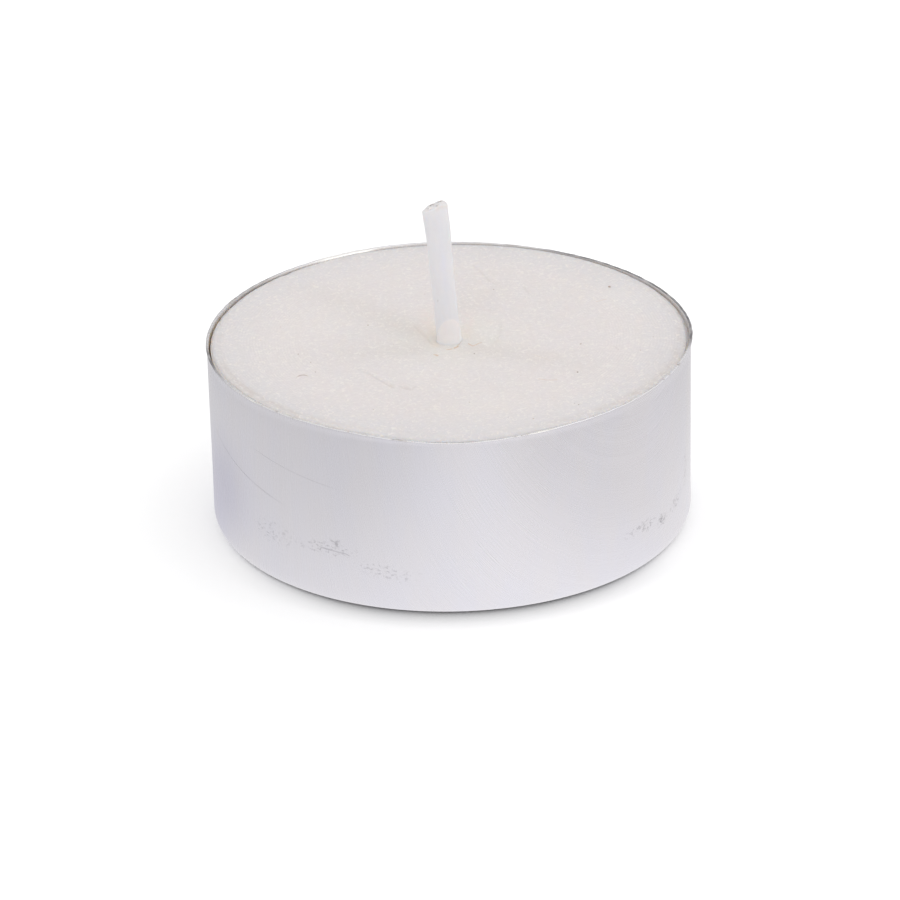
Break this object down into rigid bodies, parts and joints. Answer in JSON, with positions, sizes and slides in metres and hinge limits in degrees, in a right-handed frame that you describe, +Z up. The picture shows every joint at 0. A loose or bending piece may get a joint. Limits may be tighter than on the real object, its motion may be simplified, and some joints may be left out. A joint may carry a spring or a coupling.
{
  "type": "tea light candle",
  "caption": "Tea light candle: pressed white wax with a leaning waxed wick in a shallow drawn aluminium cup.",
  "frame": {"origin": "middle of the cup's foot, on the plane that the candle stands on", "axes": "+Z up along the cup's axis, -Y towards the candle's front, where the rim dips, and the wick leans to -X"},
  "size_m": [0.038, 0.0379, 0.0266],
  "materials": {
    "cup_aluminium": "bright satin, with the rolling grain of the drawn sheet and light scuffs",
    "candle_wax": "pressed powder wax, matt, finely mottled",
    "waxed_wick": "smooth, soaked in wax",
    "sustainer_steel": "thin tinned steel"
  },
  "bodies": {
    "root": {"cup": "cup_aluminium", "wax": "candle_wax", "wick": "waxed_wick", "wick_sustainer": "sustainer_steel"}
  },
  "joints": []
}
